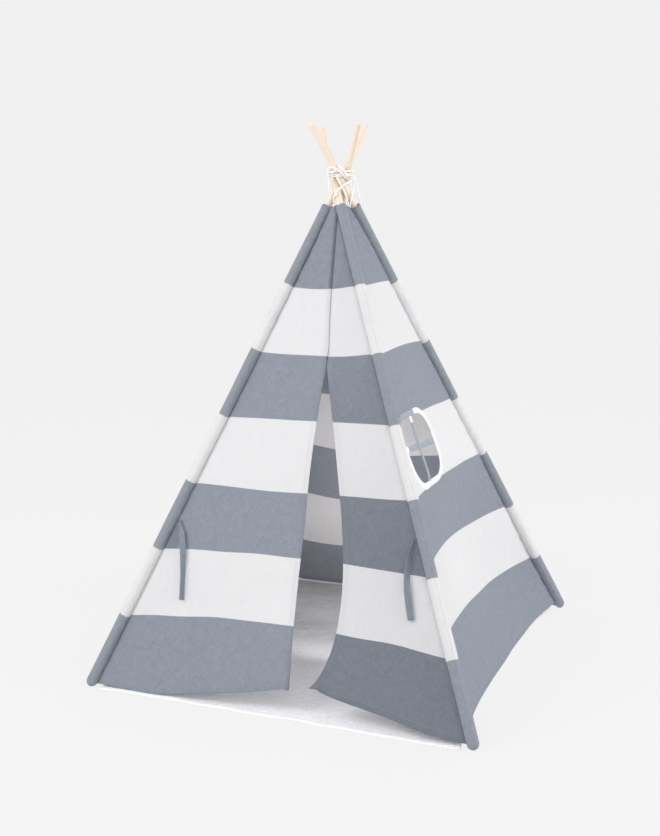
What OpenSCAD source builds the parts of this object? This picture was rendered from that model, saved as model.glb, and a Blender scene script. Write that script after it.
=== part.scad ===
// Children's teepee tent: four jointed pine poles in the corner sleeves of a
// striped canvas cover, with two door flaps, a side window and a floor mat.
// The origin is on the ground at the centre of the base. The door faces -Y.

/* [Frame] */
// Distance between neighbouring pole feet
base_w = 1200; // [1150:10:1250]
// Height at which the four pole axes pass each other
cross_h = 1510; // [1490:5:1530]
// Distance of each pole axis from the centre line at the crossing
cross_gap = 17.5; // [17.5:0.5:19]
// Diameter of a pole
pole_d = 22; // [20:1:22]
// Length of a pole from its butt to its rounded tip
pole_len = 1940; // [1900:5:1960]
// Diameter of the turned-down spigots inside a ferrule
spigot_d = 20; // [17:1:20]
// Length of a ferrule
ferrule_len = 90; // [60:5:120]

/* [Cover] */
// Outside diameter of a pole sleeve
sleeve_d = 36; // [34:1:38]
// Thickness of the sleeve cloth
sleeve_wall = 1.2; // [0.8:0.2:1.6]
// Height of the cover's top edge above the ground
cover_top = 1442; // [1436:1:1446]
// Thickness of the canvas panels
cloth_t = 1.2; // [1:0.2:1.6]
// Height of the two side hems above the foot line, up the slope
side_hem = 12; // [5:1:20]
// Height of the back hem above the foot line, up the slope
back_hem = -8; // [-10:1:10]
// Deepest inward sag of the right-hand canvas
right_sag = 95; // [60:1:100]
// Deepest inward sag of the left-hand canvas
left_sag = 80; // [60:1:100]
// Deepest inward sag of the back canvas
back_sag = 35; // [20:1:60]
// Width of the slit along a fold line of the door
fold_slit = 5; // [4:0.5:6]

/* [Door] */
// Sideways place of the top of the door opening
door_u = 33; // [25:1:40]
// Height of the top of the door opening, up the slope
door_top = 1037; // [1000:1:1060]
// How far the right flap's free edge bows away from a straight line
door_bow = 90; // [75:1:95]
// Length of a tie strap
tie_len = 240; // [200:5:250]
// Width of a tie strap
tie_w = 20; // [16:1:22]

/* [Window] */
// Width of the window opening
window_w = 236; // [220:1:240]
// Height of the window opening, up the slope
window_h = 216; // [200:1:220]
// Corner radius of the window opening
window_r = 65; // [50:1:75]
// Width of the window trim
trim_w = 22; // [15:1:25]
// Width of a window strap
strap_w = 20; // [14:1:22]

/* [Mat] */
// Width of the floor mat at its corners
mat_w = 1140; // [1100:5:1150]
// How far the mat's sides curve in between its corners
mat_waist = 40; // [35:1:50]
// Thickness of the floor mat
mat_t = 3; // [2:0.5:4]
// Width of the binding round the mat
binding_w = 20; // [15:1:25]

/* [Cord] */
// Diameter of the cotton cord
cord_d = 5; // [4:0.5:6]
// Number of turns of the lashing
lashing_turns = 3; // [2:1:3]

/* [Hidden] */
CORNERS = ["front_left", "front_right", "back_right", "back_left"];
SECTIONS = ["lower", "middle", "upper"];
FERRULES = ["low_ferrule", "high_ferrule"];

WOOD = "burlywood";
STEEL = "silver";
CANVAS = "slategray";
WHITE = "whitesmoke";
EPS = 0.01;
CLOTH_GAP = 0.3;

// Frame: the foot of each pole axis is one sleeve radius above the ground
half_w = base_w / 2;
foot_z = sleeve_d / 2;
rise = cross_h - foot_z;
cross_off = cross_gap / sqrt(2);
lean = atan(half_w / rise);
slant = sqrt(half_w * half_w + rise * rise);
run_x = half_w - cross_off;
run_y = half_w + cross_off;
run = sqrt(run_x * run_x + run_y * run_y);
pole_tilt = atan(run / rise);
pole_azimuth = atan(run_y / run_x);
butt_drop = 12;
tip_r = pole_d / 2;
joint_s = [pole_len / 3 - butt_drop, 2 * pole_len / 3 - butt_drop];
ferrule_bore = spigot_d + 0.1;
sleeve_len = (cover_top - foot_z) / cos(pole_tilt);
sleeve_bore = sleeve_d - 2 * sleeve_wall;

// Front panel outline, as [across, up the slope] on the face
panel_top = (cover_top - foot_z) / cos(lean);
outer_hem = -8;
fold_left = [-380, -4];
fold_right = [430, 15];
flap_corner_left = [64, 64];
flap_corner_right = [112, 74];
door_apex = [door_u, door_top];
seam_top = [0, panel_top];

// The canvases' dishes: height of the middle up the slope, radius, steps of the profile and
// sides round it, then how far the cut to an outline starts inwards and its whole depth
dish_v = 295;
dish_r = 520;
DISH_STEPS = 12;
DISH_SIDES = 180;
CUT_IN = 150;
CUT_DEPTH = 200;

// Ties: [attachment point, lean from straight down, positive towards +X]
tie_left = [[-379, 503], 12];
tie_right = [[372, 513], 4];
tie_lift = 2;
tie_t = 1;

// Window, on the right-hand face
window_at = [-152, 751];
window_t = 1;
upright_tilt = -8;
cross_tilt = -4;
cross_drop = 4;

// Mat: its front edge lies just ahead of the door
mat_front = -616;
mat_back = mat_front + base_w;
WAIST_SIDES = 240;

// Lashing round the crossing
lashing_z = cross_h + 33;
lashing_r = 42.8;
lashing_pitch = 5;
knot_at = [-4.4, -46.8, 1546];
knot_r = 7;
knot_turn = -5;

// Routes of the cords, in order from the lashing
tail_left_route = [[-27, -34, 1541], [-27, -33, 1531], [-26, -32, 1521], [-26, -34, 1511],
    [-25, -35, 1502], [-24, -35, 1493], [-24, -34, 1485]];
tail_right_route = [[37, 22, 1540], [38, 22, 1530], [41, 21, 1521], [44, 20, 1511], [47, 19, 1500],
    [49, 18, 1489], [52, 17, 1478], [56, 16, 1467], [60, 15, 1457], [64, 14, 1448]];
front_cord_route = [[43, 5, 1540], [41, 5, 1532], [40, 1, 1525], [39, -9, 1520], [36, -20, 1515],
    [30, -31, 1510], [20, -39, 1503], [10, -43, 1494], [2, -44, 1484], [-4, -43, 1474],
    [-8, -40, 1464], [-9, -37, 1453], [-9, -33, 1440]];
right_cord_route = [[5, -43, 1540], [5, -41, 1532], [7, -39, 1523], [10, -36, 1514], [15, -33, 1504],
    [20, -29, 1494], [24, -25, 1483], [27, -21, 1472], [29, -18, 1461], [31, -16, 1450],
    [33, -15, 1440]];
side_cord_route = [[41, 13, 1540], [39, 14, 1531], [39, 14, 1522], [39, 13, 1514], [40, 10, 1504],
    [41, 4, 1494], [41, -2, 1484], [40, -6, 1473], [38, -8, 1462], [35, -8, 1451], [33, -6, 1440]];
CORD_SIDES = 8;
CORD_FACING = [0.385, -0.923, 0];

// Places the children on pole number k, with Z along the pole from its foot
module on_pole(k) {
    rotate([0, 0, 90 * k])
        translate([-half_w, -half_w, foot_z])
            rotate([0, pole_tilt, pole_azimuth])
                children();
}

// Places the children on face number k: X across, Y up the slope, Z outwards
module on_face(k) {
    rotate([0, 0, 90 * k])
        translate([0, -half_w, foot_z])
            rotate([90 - lean, 0, 0])
                children();
}

// Half-width of a face between the pole feet, at a height up the slope
function face_half(v) = half_w * (1 - v / slant);

// Clears the two sleeves beside face k
module clear_of_sleeves(k) {
    for (side = [0, 1])
        on_pole(k + side)
            translate([0, 0, -sleeve_d])
                cylinder(d = sleeve_d + 2 * CLOTH_GAP, h = slant * 1.1, $fn = 64);
}

// A flat sheet on face k, trimmed to the sleeves
module sheet(k, thick, lift = 0) {
    difference() {
        on_face(k)
            translate([0, 0, lift - thick / 2])
                linear_extrude(thick)
                    children();
        clear_of_sleeves(k);
    }
}

// A wide slab on a face, dished inwards about a point on its middle line
module dished_slab(depth, thick, lift) {
    dish = [for (i = [0 : DISH_STEPS])
        [dish_r * i / DISH_STEPS, lift - depth * pow(cos(90 * max(i, 1) / DISH_STEPS), 2)]];
    translate([0, dish_v, 0])
        rotate_extrude($fn = DISH_SIDES)
            polygon(concat([for (p = dish) [p[0], p[1] + thick / 2]],
                [[slant, lift + thick / 2], [slant, lift - thick / 2]],
                [for (i = [DISH_STEPS : -1 : 0]) [dish[i][0], dish[i][1] - thick / 2]]));
}

// A dished sheet on face k, cut to an outline and trimmed to the sleeves
module dished_sheet(k, depth, thick, lift = 0) {
    intersection() {
        on_face(k)
            dished_slab(depth, thick, lift);
        difference() {
            on_face(k)
                translate([0, 0, -CUT_IN])
                    linear_extrude(CUT_DEPTH)
                        children();
            clear_of_sleeves(k);
        }
    }
}

// Poles

module pole_section(k, i) {
    from = i == 0 ? -butt_drop : joint_s[i - 1];
    to = i == 2 ? pole_len - butt_drop - tip_r : joint_s[i];
    thick_from = i == 0 ? from : from + ferrule_len / 2;
    thick_to = i == 2 ? to : to - ferrule_len / 2;
    color(WOOD)
        on_pole(k) {
            translate([0, 0, thick_from])
                cylinder(d = pole_d, h = thick_to - thick_from, $fn = 48);
            translate([0, 0, from])
                cylinder(d = spigot_d, h = to - from, $fn = 48);
            if (i == 2)
                translate([0, 0, to])
                    sphere(r = tip_r, $fn = 48);
        }
}

module pole_ferrule(k, i) {
    color(STEEL)
        on_pole(k)
            translate([0, 0, joint_s[i] - ferrule_len / 2])
                difference() {
                    cylinder(d = pole_d, h = ferrule_len, $fn = 48);
                    translate([0, 0, -1])
                        cylinder(d = ferrule_bore, h = ferrule_len + 2, $fn = 48);
                }
}

// Cover

module sleeve(k) {
    color(CANVAS)
        on_pole(k)
            difference() {
                union() {
                    sphere(d = sleeve_d, $fn = 64);
                    cylinder(d = sleeve_d, h = sleeve_len, $fn = 64);
                }
                sphere(d = sleeve_bore, $fn = 64);
                cylinder(d = sleeve_bore, h = sleeve_len + 1, $fn = 64);
            }
}

module panel_outline(hem) {
    polygon([[-face_half(hem), hem], [face_half(hem), hem],
        [face_half(panel_top), panel_top], [-face_half(panel_top), panel_top]]);
}

// The narrow slit that runs down a fold line from the top of the door
module fold_line(foot) {
    along = door_apex - foot;
    len = norm(along);
    translate(foot)
        rotate(atan2(along[1], along[0]))
            translate([-fold_slit * 3, -fold_slit / 2])
                square([len + fold_slit * 3 + 1, fold_slit]);
}

module front_panel_left() {
    color(CANVAS)
        sheet(0, cloth_t)
            difference() {
                polygon([[-face_half(outer_hem), outer_hem], fold_left, door_apex, seam_top,
                    [-face_half(panel_top), panel_top]]);
                fold_line(fold_left);
            }
}

module front_panel_right() {
    color(CANVAS)
        sheet(0, cloth_t)
            difference() {
                polygon([[face_half(outer_hem), outer_hem], fold_right, door_apex, seam_top,
                    [face_half(panel_top), panel_top]]);
                fold_line(fold_right);
            }
}

module door_flap_left() {
    color(CANVAS)
        sheet(0, cloth_t)
            difference() {
                polygon([fold_left, flap_corner_left, door_apex]);
                fold_line(fold_left);
            }
}

// Free edge of the right flap: a straight line plus a bow that is deepest low down
function bowed_edge(t) = flap_corner_right * (1 - t) + door_apex * t
    + [door_bow * sin(180 * pow(t, 0.6)), 0];

module door_flap_right() {
    steps = 14;
    color(CANVAS)
        sheet(0, cloth_t)
            difference() {
                polygon(concat([fold_right], [for (i = [0 : steps]) bowed_edge(i / steps)]));
                fold_line(fold_right);
            }
}

module door_tie(tie) {
    color(CANVAS)
        on_face(0)
            translate([tie[0][0], tie[0][1], cloth_t / 2 + tie_lift])
                rotate(tie[1])
                    translate([-tie_w / 2, -tie_len, 0])
                        cube([tie_w, tie_len, tie_t]);
}

module left_panel() {
    color(CANVAS)
        dished_sheet(3, left_sag, cloth_t)
            panel_outline(side_hem);
}

module back_panel() {
    color(CANVAS)
        dished_sheet(2, back_sag, cloth_t)
            panel_outline(back_hem);
}

// Rounded rectangle round the window's centre, larger by grow on every side
module window_outline(grow) {
    w = window_w / 2 + grow;
    h = window_h / 2 + grow;
    r = window_r + grow;
    translate(window_at) {
        square([2 * (w - r), 2 * h], center = true);
        square([2 * w, 2 * (h - r)], center = true);
        for (x = [-1, 1], y = [-1, 1])
            translate([x * (w - r), y * (h - r)])
                circle(r, $fn = 48);
    }
}

module right_panel() {
    color(CANVAS)
        dished_sheet(1, right_sag, cloth_t)
            difference() {
                panel_outline(side_hem);
                window_outline(0);
            }
}

module window_ring(lift) {
    color(WHITE)
        dished_sheet(1, right_sag, window_t, lift)
            difference() {
                window_outline(trim_w);
                window_outline(0);
            }
}

module window_trim() {
    window_ring((cloth_t + window_t) / 2);
}

module window_facing() {
    window_ring(-(cloth_t + window_t) / 2);
}

// A strap across the opening, cut to the opening's outline
module window_strap(tilt, lift, shift) {
    span = window_w + window_h;
    color(CANVAS)
        dished_sheet(1, right_sag, cloth_t / 2, lift)
            intersection() {
                window_outline(-EPS);
                translate(window_at + shift)
                    rotate(tilt)
                        square([strap_w, span], center = true);
            }
}

module window_strap_upright() {
    window_strap(upright_tilt, cloth_t / 4 + EPS, [-10, 0]);
}

module window_strap_cross() {
    window_strap(90 + cross_tilt, -cloth_t / 4 - EPS, [0, cross_drop]);
}

// Mat

// The mat's outline, with sides that curve in to a waist
module mat_sheet(inset) {
    depth = mat_back - mat_front;
    curve_r = (depth * depth / 4 + mat_waist * mat_waist) / (2 * mat_waist);
    difference() {
        translate([-mat_w / 2 + inset, mat_front + inset])
            square([mat_w - 2 * inset, depth - 2 * inset]);
        for (side = [-1, 1])
            translate([side * (mat_w / 2 - mat_waist + curve_r), (mat_front + mat_back) / 2])
                circle(curve_r + inset, $fn = WAIST_SIDES);
    }
}

module floor_mat() {
    color(WHITE)
        linear_extrude(mat_t)
            mat_sheet(binding_w);
}

module mat_binding() {
    color(WHITE)
        linear_extrude(mat_t)
            difference() {
                mat_sheet(0);
                mat_sheet(binding_w);
            }
}

// Cords

function cord_tangent(route, i) =
    route[min(i + 1, len(route) - 1)] - route[max(i - 1, 0)];

function cord_ring(route, i) =
    let (t = cord_tangent(route, i) / norm(cord_tangent(route, i)))
    let (s = cross(t, CORD_FACING) / norm(cross(t, CORD_FACING)))
    let (n = cross(s, t))
    [for (a = [0 : CORD_SIDES - 1])
        route[i] + cord_d / 2 * (cos(360 * a / CORD_SIDES) * s + sin(360 * a / CORD_SIDES) * n)];

// A cord swept along a route, with flat ends
module cord(route) {
    last = len(route) - 1;
    points = [for (i = [0 : last]) each cord_ring(route, i)];
    walls = [for (i = [0 : last - 1], a = [0 : CORD_SIDES - 1])
        let (b = (a + 1) % CORD_SIDES, at = i * CORD_SIDES, up = (i + 1) * CORD_SIDES)
        each [[at + a, at + b, up + b], [at + a, up + b, up + a]]];
    start_face = [for (a = [CORD_SIDES - 1 : -1 : 0]) a];
    end_face = [for (a = [0 : CORD_SIDES - 1]) last * CORD_SIDES + a];
    color(WHITE)
        polyhedron(points, concat(walls, [start_face, end_face]));
}

// The turns lie on each other, so their outline is one closed band
module lashing_cord() {
    color(WHITE)
        translate([0, 0, lashing_z])
            rotate_extrude($fn = 96)
                translate([lashing_r, 0])
                    for (i = [0 : lashing_turns - 1])
                        translate([0, (i - (lashing_turns - 1) / 2) * (lashing_pitch - 0.4)])
                            circle(d = cord_d, $fn = 24);
}

// The loop of the knot stands on the outside of the lashing
module lashing_knot() {
    color(WHITE)
        translate(knot_at)
            rotate([90, 0, knot_turn])
                rotate_extrude($fn = 48)
                    translate([knot_r, 0])
                        circle(d = cord_d, $fn = 24);
}

for (k = [0 : 3], i = [0 : 2])
    pole_section(k, i);
for (k = [0 : 3], i = [0 : 1])
    pole_ferrule(k, i);
for (k = [0 : 3])
    sleeve(k);
front_panel_left();
front_panel_right();
right_panel();
back_panel();
left_panel();
door_flap_left();
door_flap_right();
door_tie(tie_left);  // door_tie_left
door_tie(tie_right);  // door_tie_right
window_trim();
window_facing();
window_strap_upright();
window_strap_cross();
floor_mat();
mat_binding();
lashing_cord();
lashing_knot();
cord(tail_left_route);  // lashing_tail_left
cord(tail_right_route);  // lashing_tail_right
cord(front_cord_route);  // cover_cord_front
cord(right_cord_route);  // cover_cord_right
cord(side_cord_route);  // cover_cord_side
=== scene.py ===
"""Looks for the striped teepee tent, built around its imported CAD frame. Metres, +Z up, door towards -Y."""

import math

import bmesh
import bpy
import numpy as np
from mathutils import Matrix, Vector


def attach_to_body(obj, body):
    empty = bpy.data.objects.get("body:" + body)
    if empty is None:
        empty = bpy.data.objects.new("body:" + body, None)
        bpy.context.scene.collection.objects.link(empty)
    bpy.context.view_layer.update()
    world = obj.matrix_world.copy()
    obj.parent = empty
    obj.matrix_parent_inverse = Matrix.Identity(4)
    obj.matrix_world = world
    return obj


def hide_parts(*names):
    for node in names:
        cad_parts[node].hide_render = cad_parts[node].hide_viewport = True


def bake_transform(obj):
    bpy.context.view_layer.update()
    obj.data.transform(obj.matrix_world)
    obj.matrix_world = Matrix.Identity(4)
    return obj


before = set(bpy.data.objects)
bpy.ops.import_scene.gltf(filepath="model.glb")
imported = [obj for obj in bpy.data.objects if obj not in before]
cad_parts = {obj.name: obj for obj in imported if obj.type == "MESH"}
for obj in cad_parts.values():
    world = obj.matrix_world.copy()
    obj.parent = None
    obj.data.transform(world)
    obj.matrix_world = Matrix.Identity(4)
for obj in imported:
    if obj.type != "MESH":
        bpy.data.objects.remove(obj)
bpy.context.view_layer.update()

# ---------------- sizes
# They are the CAD's, except for the door's bow, the window and its trim, which differ by a few millimetres.
HALF = 0.6
FOOT_Z = 0.018
RISE = 1.492
CROSS_OFF = 0.0175 / math.sqrt(2)
SLANT = math.hypot(HALF, RISE)
SIN_LEAN, COS_LEAN = HALF / SLANT, RISE / SLANT
SLEEVE_R = 0.018
COVER_TOP = 1.442
PANEL_TOP = (COVER_TOP - FOOT_Z) / COS_LEAN
POLE_LEN = 1.940
BUTT_DROP = 0.012
FERRULE_LEN = 0.090
POLE_R = 0.011
SPIGOT_R = 0.010
FOLD_LEFT, FOLD_RIGHT = (-0.380, -0.004), (0.430, 0.015)
CORNER_LEFT, CORNER_RIGHT = (0.064, 0.064), (0.112, 0.074)
DOOR_APEX = (0.033, 1.037)
DOOR_BOW = 0.084
WINDOW_AT = (-0.147, 0.758)
WINDOW_W, WINDOW_H, WINDOW_R = 0.246, 0.202, 0.065
TRIM_W = 0.0185
CLOTH_EDGE = 0.0155
STRIPE = 0.228
STRIPE_FOOT = 0.0057
STRIPE_ON_FACE = 0.9369
CORNERS = ("front_left", "front_right", "back_right", "back_left")
CLOTH_THICK, MAT_THICK, TAPE_THICK = 0.0009, 0.0012, 0.0016
STRAP_W, TIE_W = 0.019, 0.0185
THREAD_PITCH = 0.0011
STITCH_PITCH = 0.0042
PALE = (0.876, 0.876, 0.876, 1)
WARM = (1.0, 0.97, 0.955)

CORD_D = 0.005
# Each cord's route in millimetres, from the lashing down
TAIL_LEFT = [
    (-27, -34, 1541), (-27, -33, 1531), (-26, -32, 1521), (-26, -34, 1511), (-25, -35, 1502),
    (-24, -35, 1493), (-24, -34, 1485)]
TAIL_RIGHT = [
    (37, 22, 1540), (38, 22, 1530), (41, 21, 1521), (44, 20, 1511), (47, 19, 1500), (49, 18, 1489),
    (52, 17, 1478), (56, 16, 1467), (60, 15, 1457), (64, 14, 1448)]
FRONT_CORD = [
    (43, 5, 1540), (41, 5, 1532), (40, 1, 1525), (39, -9, 1520), (36, -20, 1515), (30, -31, 1510),
    (20, -39, 1503), (10, -43, 1494), (2, -44, 1484), (-4, -43, 1474), (-8, -40, 1464), (-9, -37, 1453),
    (-9, -33, 1440)]
RIGHT_CORD = [
    (5, -43, 1540), (5, -41, 1532), (7, -39, 1523), (10, -36, 1514), (15, -33, 1504), (20, -29, 1494),
    (24, -25, 1483), (27, -21, 1472), (29, -18, 1461), (31, -16, 1450), (33, -15, 1440)]
SIDE_CORD = [
    (41, 13, 1540), (39, 14, 1531), (39, 14, 1522), (39, 13, 1514), (40, 10, 1504), (41, 4, 1494),
    (41, -2, 1484), (40, -6, 1473), (38, -8, 1462), (35, -8, 1451), (33, -6, 1440)]


# ---------------- camera
def make_camera():
    az, el, roll = (math.radians(a) for a in (22.377, 9.828, -0.762))
    distance, shift_right, shift_up, focal_px = 3.6580, -0.0430, 0.0678, 1125.11
    back = Vector((math.sin(az) * math.cos(el), -math.cos(az) * math.cos(el), math.sin(el)))
    right = Vector((math.cos(az), math.sin(az), 0))
    up = back.cross(right)
    x_axis = right * math.cos(roll) + up * math.sin(roll)
    y_axis = up * math.cos(roll) - right * math.sin(roll)
    data = bpy.data.cameras.new("camera")
    data.sensor_width = 36
    data.lens = focal_px * 36 / 836
    camera = bpy.data.objects.new("camera", data)
    bpy.context.scene.collection.objects.link(camera)
    camera.matrix_world = Matrix((x_axis, y_axis, back)).transposed().to_4x4()
    camera.location = Vector((0, 0, 0.7)) + back * distance + right * shift_right + up * shift_up
    bpy.context.scene.camera = camera


make_camera()


# ---------------- material helpers
def new_material(name):
    material = bpy.data.materials.new(name)
    material.use_nodes = True
    tree = material.node_tree
    tree.nodes.clear()
    out = tree.nodes.new("ShaderNodeOutputMaterial")
    shader = tree.nodes.new("ShaderNodeBsdfPrincipled")
    tree.links.new(shader.outputs[0], out.inputs[0])
    return material, tree, shader, out


def node(tree, kind, inputs=(), **settings):
    n = tree.nodes.new("ShaderNode" + kind)
    for key, value in settings.items():
        setattr(n, key, value)
    for key, value in dict(inputs).items():
        if isinstance(value, bpy.types.NodeSocket):
            tree.links.new(value, n.inputs[key])
        else:
            n.inputs[key].default_value = value
    return n


def maths(tree, operation, a, b=0.0):
    return node(tree, "Math", {0: a, 1: b}, operation=operation).outputs[0]


def mix_colour(tree, factor, a, b, blend="MIX"):
    n = node(tree, "Mix", {0: factor}, data_type="RGBA", blend_type=blend)
    for index, value in ((6, a), (7, b)):
        if isinstance(value, bpy.types.NodeSocket):
            tree.links.new(value, n.inputs[index])
        else:
            n.inputs[index].default_value = value
    return n.outputs[2]


def noise(tree, coords, scale, stretch=(1, 1, 1), detail=2.0, rough=0.5):
    mapping = node(tree, "Mapping", {"Vector": coords, "Scale": stretch})
    return node(tree, "TexNoise", {"Vector": mapping.outputs[0], "Scale": scale, "Detail": detail,
                                   "Roughness": rough}).outputs["Fac"]


def spread(tree, value, low, high):
    """Stretches a noise around 0.5 into low to high."""
    return node(tree, "MapRange", {"Value": value, "From Min": 0.3, "From Max": 0.7, "To Min": low,
                                   "To Max": high}).outputs[0]


def bump(tree, shader, height, distance, strength=1.0, under=None):
    inputs = {"Height": height, "Distance": distance, "Strength": strength}
    if under is not None:
        inputs["Normal"] = under
    n = node(tree, "Bump", inputs)
    tree.links.new(n.outputs[0], shader.inputs["Normal"])
    return n.outputs[0]


def through(tree, shader, out, colour, share, normal):
    """Lets some of the light on the other side of the cloth show through."""
    back = node(tree, "BsdfTranslucent", {"Color": colour, "Normal": normal})
    mixed = node(tree, "MixShader", {0: share, 1: shader.outputs[0], 2: back.outputs[0]})
    tree.links.new(mixed.outputs[0], out.inputs[0])


def canvas_material(name, grey, white, striped=True, share=0.29, blotch=1.0, sheen=0.15):
    """Plain-woven cotton canvas. The cloth's own attributes carry its threads, its stripes and its painted
    shade.
    """
    material, tree, shader, out = new_material(name)
    coords = node(tree, "Attribute", attribute_name="cloth").outputs["Vector"]
    weft_slub = noise(tree, coords, 1.0, (70, 480, 1), 3.0)
    warp_slub = noise(tree, coords, 1.0, (480, 70, 1), 3.0)
    halves = [maths(tree, "MULTIPLY", slub, 0.5) for slub in (weft_slub, warp_slub)]
    heather = maths(tree, "ADD", *halves)
    cloud = noise(tree, coords, 1.0, (45, 45, 1), 3.0, 0.6)
    tone = maths(tree, "MULTIPLY", spread(tree, heather, 0.78, 1.22), spread(tree, cloud, 0.94, 1.06))
    grey_yarn = mix_colour(tree, 1.0, grey, tone, "MULTIPLY")
    soft_tone = maths(tree, "ADD", maths(tree, "MULTIPLY", tone, 0.12), 0.88)
    white_yarn = mix_colour(tree, 1.0, white, soft_tone, "MULTIPLY")
    if striped:
        stripe = node(tree, "Attribute", attribute_name="stripe").outputs["Fac"]
        index = maths(tree, "FLOOR", maths(tree, "MAXIMUM", maths(tree, "MINIMUM", stripe, 6.5), 0.02))
        odd = maths(tree, "MODULO", index, 2.0)
        colour = mix_colour(tree, odd, grey_yarn, white_yarn)
        painted_shade_tint = mix_colour(tree, odd, GREY_PAINTED_SHADE, WHITE_PAINTED_SHADE)
    else:
        colour, painted_shade_tint = grey_yarn, MAT_SHADE
    # Painted shade: an attribute on the mesh darkens the colour towards a darker tint of each stripe.
    painted_shade = node(tree, "Attribute", attribute_name="painted_shade").outputs["Fac"]
    colour = mix_colour(tree, painted_shade, colour, mix_colour(tree, 1.0, colour, painted_shade_tint, "MULTIPLY"))
    tree.links.new(colour, shader.inputs["Base Color"])
    parts = node(tree, "SeparateXYZ", {0: coords})
    waves = [maths(tree, "SINE", maths(tree, "MULTIPLY", parts.outputs[i], 2 * math.pi / THREAD_PITCH))
             for i in (0, 1)]
    weave = maths(tree, "MULTIPLY", *waves)
    relief = maths(tree, "ADD", maths(tree, "MULTIPLY", weave, 0.5), heather)
    crumple = noise(tree, coords, 1.0, (15, 10, 1), 5.0, 0.55)
    low = bump(tree, shader, crumple, 0.014 * blotch, 0.6)
    normal = bump(tree, shader, relief, 0.0003, 0.45, low)
    shader.inputs["Roughness"].default_value = 0.92
    shader.inputs["Sheen Weight"].default_value = sheen
    shader.inputs["Sheen Roughness"].default_value = 0.5
    shader.inputs["Specular IOR Level"].default_value = 0.25
    if share:
        glow = mix_colour(tree, 0.65, colour, THROUGH_TINT)
        through(tree, shader, out, glow, share, normal)
    return material


GREY = (0.312, 0.343, 0.408, 1)
DARK_GREY = (0.205, 0.232, 0.280, 1)
WHITE = (0.865, 0.868, 0.885, 1)
# The darker tints that painted shade takes the grey stripes, the white stripes and the mat towards.
GREY_PAINTED_SHADE, WHITE_PAINTED_SHADE = (0.42, 0.42, 0.44, 1), (0.84, 0.845, 0.87, 1)
MAT_SHADE = (0.25, 0.255, 0.26, 1)
THROUGH_TINT = (0.80, 0.745, 0.72, 1)
canvas = canvas_material("striped_canvas", GREY, WHITE)
tape_canvas = canvas_material("window_tape", GREY, WHITE, share=0.0)
tie_canvas = canvas_material("tie_tape", DARK_GREY, WHITE, share=0.0)
MAT_WHITE = (0.95, 0.945, 0.99, 1)
mat_canvas = canvas_material("mat_cloth", MAT_WHITE, WHITE, striped=False, share=0.0, blotch=1.2, sheen=1.0)


def thread_material():
    material, tree, shader, _ = new_material("sewing_thread")
    coords = node(tree, "TexCoord").outputs["Object"]
    tone = spread(tree, noise(tree, coords, 700.0), 0.85, 1.1)
    colour = mix_colour(tree, 1.0, (0.56, 0.59, 0.63, 1), tone, "MULTIPLY")
    tree.links.new(colour, shader.inputs["Base Color"])
    shader.inputs["Roughness"].default_value = 0.7
    shader.inputs["Sheen Weight"].default_value = 0.2
    return material


def cord_material():
    material, tree, shader, _ = new_material("cotton_cord")
    coords = node(tree, "TexCoord").outputs["Object"]
    fibre = noise(tree, coords, 900.0, (1, 1, 0.35), 3.0)
    colour = mix_colour(tree, spread(tree, fibre, 0.0, 1.0), (0.80, 0.79, 0.76, 1), (0.92, 0.91, 0.89, 1))
    tree.links.new(colour, shader.inputs["Base Color"])
    bump(tree, shader, fibre, 0.0004, 0.6)
    shader.inputs["Roughness"].default_value = 0.85
    shader.inputs["Sheen Weight"].default_value = 0.3
    return material


def wood_material(name, axis):
    """Pale pine with its grain along a pole's axis."""
    material, tree, shader, _ = new_material(name)
    coords = node(tree, "TexCoord").outputs["Object"]
    axis = Vector(axis)
    across = axis.cross((0, 0, 1)).normalized()
    shares = [node(tree, "VectorMath", {0: coords, 1: d}, operation="DOT_PRODUCT").outputs["Value"]
              for d in (across, axis.cross(across), axis)]
    along = node(tree, "CombineXYZ", dict(enumerate(shares))).outputs[0]
    rings = noise(tree, along, 1.0, (120, 120, 3.0), 2.0, 0.5)
    pores = noise(tree, along, 1.0, (320, 320, 9), 1.0)
    patch = noise(tree, along, 1.0, (22, 22, 9), 3.0)
    ramp = node(tree, "ValToRGB", {"Fac": rings})
    stops = ramp.color_ramp.elements
    stops[0].position, stops[0].color = 0.30, (0.70, 0.56, 0.45, 1)
    stops[1].position, stops[1].color = 0.72, (0.84, 0.74, 0.64, 1)
    middle = stops.new(0.5)
    middle.color = (0.80, 0.68, 0.57, 1)
    warm = mix_colour(tree, maths(tree, "MULTIPLY", patch, 0.35), ramp.outputs[0], (0.86, 0.72, 0.63, 1))
    dark = spread(tree, pores, 0.95, 1.03)
    tree.links.new(mix_colour(tree, 1.0, warm, dark, "MULTIPLY"), shader.inputs["Base Color"])
    bump(tree, shader, rings, 0.0001, 0.2)
    tree.links.new(spread(tree, rings, 0.62, 0.50), shader.inputs["Roughness"])
    shader.inputs["Coat Weight"].default_value = 0.05
    return material


def steel_material():
    material, tree, shader, _ = new_material("zinc_plated_steel")
    coords = node(tree, "TexCoord").outputs["Object"]
    draw = noise(tree, coords, 60.0, (1, 1, 0.1), 5.0)
    speck = noise(tree, coords, 400.0)
    tree.links.new(mix_colour(tree, spread(tree, draw, 0, 1), (0.50, 0.51, 0.53, 1), (0.66, 0.67, 0.68, 1)),
                   shader.inputs["Base Color"])
    tree.links.new(spread(tree, speck, 0.28, 0.42), shader.inputs["Roughness"])
    bump(tree, shader, draw, 0.0003, 0.3)
    shader.inputs["Metallic"].default_value = 1.0
    return material


thread = thread_material()
cotton = cord_material()
steel = steel_material()


# ---------------- places on the tent
def turned(k, xyz):
    """Turns points by k quarter turns about +Z."""
    x, y, z = xyz[..., 0], xyz[..., 1], xyz[..., 2]
    for _ in range(k % 4):
        x, y = -y, x
    return np.stack([x, y, z], axis=-1)


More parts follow.
